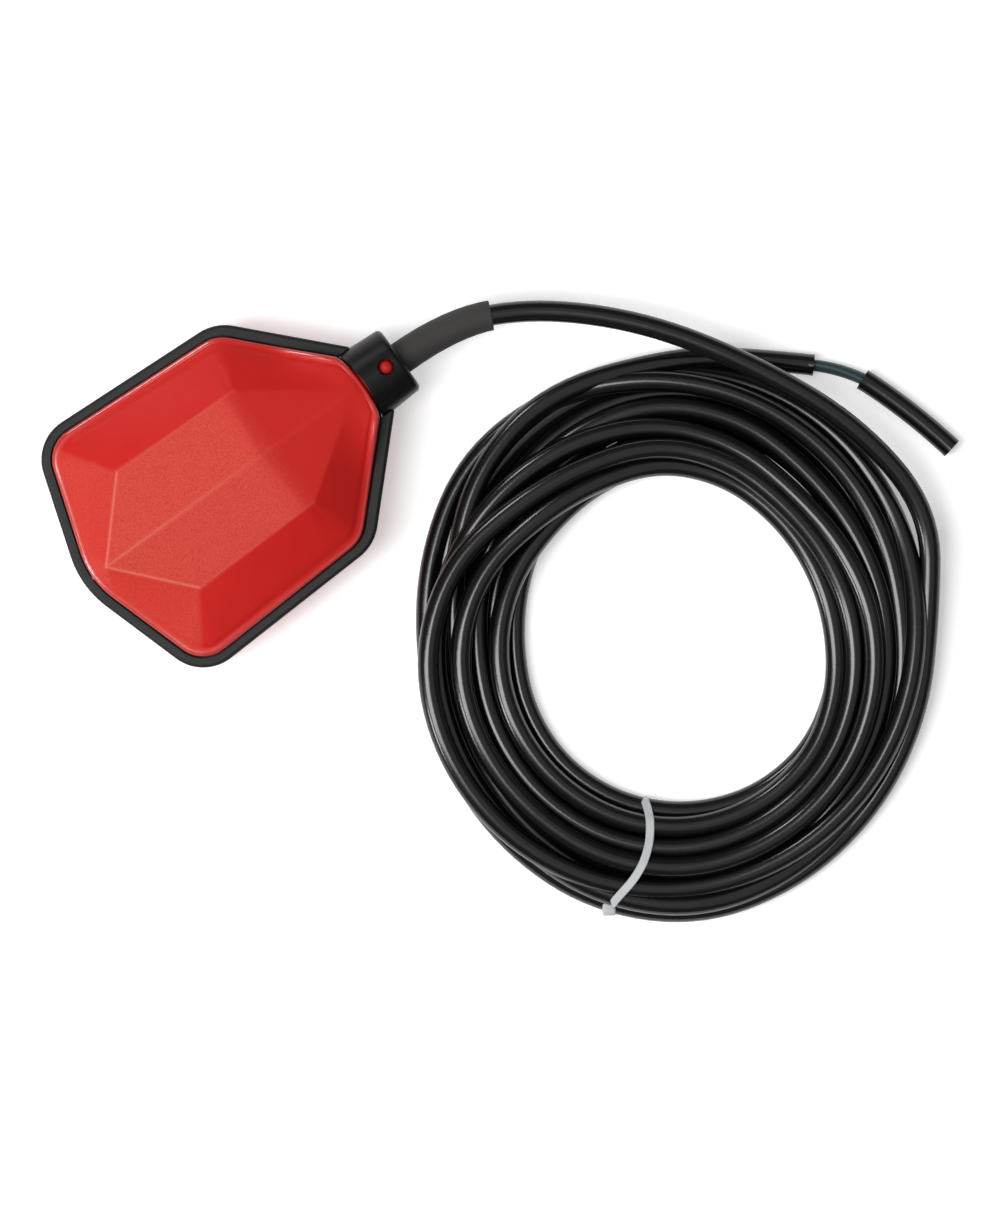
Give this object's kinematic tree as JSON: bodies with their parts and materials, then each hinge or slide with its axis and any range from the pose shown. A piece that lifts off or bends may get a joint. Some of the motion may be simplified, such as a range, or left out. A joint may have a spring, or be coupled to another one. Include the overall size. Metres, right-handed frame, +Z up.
{
  "type": "float level switch",
  "caption": "Float level switch: red faceted float with a dark rim and collar, short sleeve and a tied coil of black cable with a bare end.",
  "frame": {"origin": "on the surface the float lies on, under the middle of the float", "axes": "+X out of the float's neck along the cable exit, +Y to its left, +Z up"},
  "size_m": [0.2604, 0.2631, 0.04],
  "materials": {
    "float_shell": "fine-grained moulding",
    "rim": "satin",
    "collar": "satin gloss",
    "sleeve": "matte",
    "seal": "matte",
    "inner_plastic": "natural",
    "cable_jacket": "soft sheen",
    "core_bundle": "soft sheen",
    "tie_nylon": "natural nylon",
    "screw_steel": "zinc plated",
    "ball_steel": "polished",
    "switch_plastic": "satin",
    "plunger_plastic": "satin",
    "contact_brass": "stamped",
    "core_brown": "satin",
    "core_blue": "satin",
    "core_black": "satin"
  },
  "bodies": {
    "float": {"upper_shell": "float_shell", "lower_shell": "float_shell", "rim_frame": "rim", "neck_collar": "collar", "strain_relief_sleeve": "sleeve", "gland_bush": "seal", "gland_washer": "inner_plastic", "cable_entry": "cable_jacket", "cable_clamp": "inner_plastic", "clamp_screws": "screw_steel", "switch_carrier": "inner_plastic", "carrier_screws": "screw_steel", "track_cover": "inner_plastic", "lever_pin": "screw_steel", "switch_case": "switch_plastic", "switch_cover": "switch_plastic", "switch_screws": "screw_steel", "terminal_com": "contact_brass", "terminal_nc": "contact_brass", "terminal_no": "contact_brass", "receptacle_com": "contact_brass", "receptacle_nc": "contact_brass", "receptacle_no": "contact_brass", "core_com": "core_brown", "core_nc": "core_blue", "core_no": "core_black", "cable_lead": "cable_jacket", "cable_coil": "cable_jacket", "cable_tail": "cable_jacket", "core_bundle": "core_bundle", "cable_end_stub": "cable_jacket", "cable_tie": "tie_nylon"},
    "ball": {"switch_ball": "ball_steel"},
    "lever": {"switch_lever": "inner_plastic"},
    "plunger": {"switch_plunger": "plunger_plastic"},
    "blade": {"contact_blade": "contact_brass"}
  },
  "joints": [
    {"name": "ball_roll", "type": "slide", "parent": "float", "child": "ball", "axis": [1, 0, 0], "range_m": [0, 0.018]},
    {"name": "lever_turn", "type": "hinge", "parent": "float", "child": "lever", "pos_m": [0.006, 0, 0.0248], "axis": [0, 1, 0], "range_deg": [0, 9.17]},
    {"name": "plunger_press", "type": "slide", "parent": "float", "child": "plunger", "axis": [0, 0, 1], "range_m": [0, 0.001]},
    {"name": "blade_switch", "type": "hinge", "parent": "float", "child": "blade", "pos_m": [0.008, 0, 0.0295], "axis": [0, 1, 0], "range_deg": [0, 7.16]}
  ],
  "couplings": [
    {"joint": "lever_turn", "follows": "ball_roll", "rad_per_m": 8.8888},
    {"joint": "plunger_press", "follows": "ball_roll", "ratio": 0.05555},
    {"joint": "blade_switch", "follows": "ball_roll", "rad_per_m": 6.9443}
  ]
}
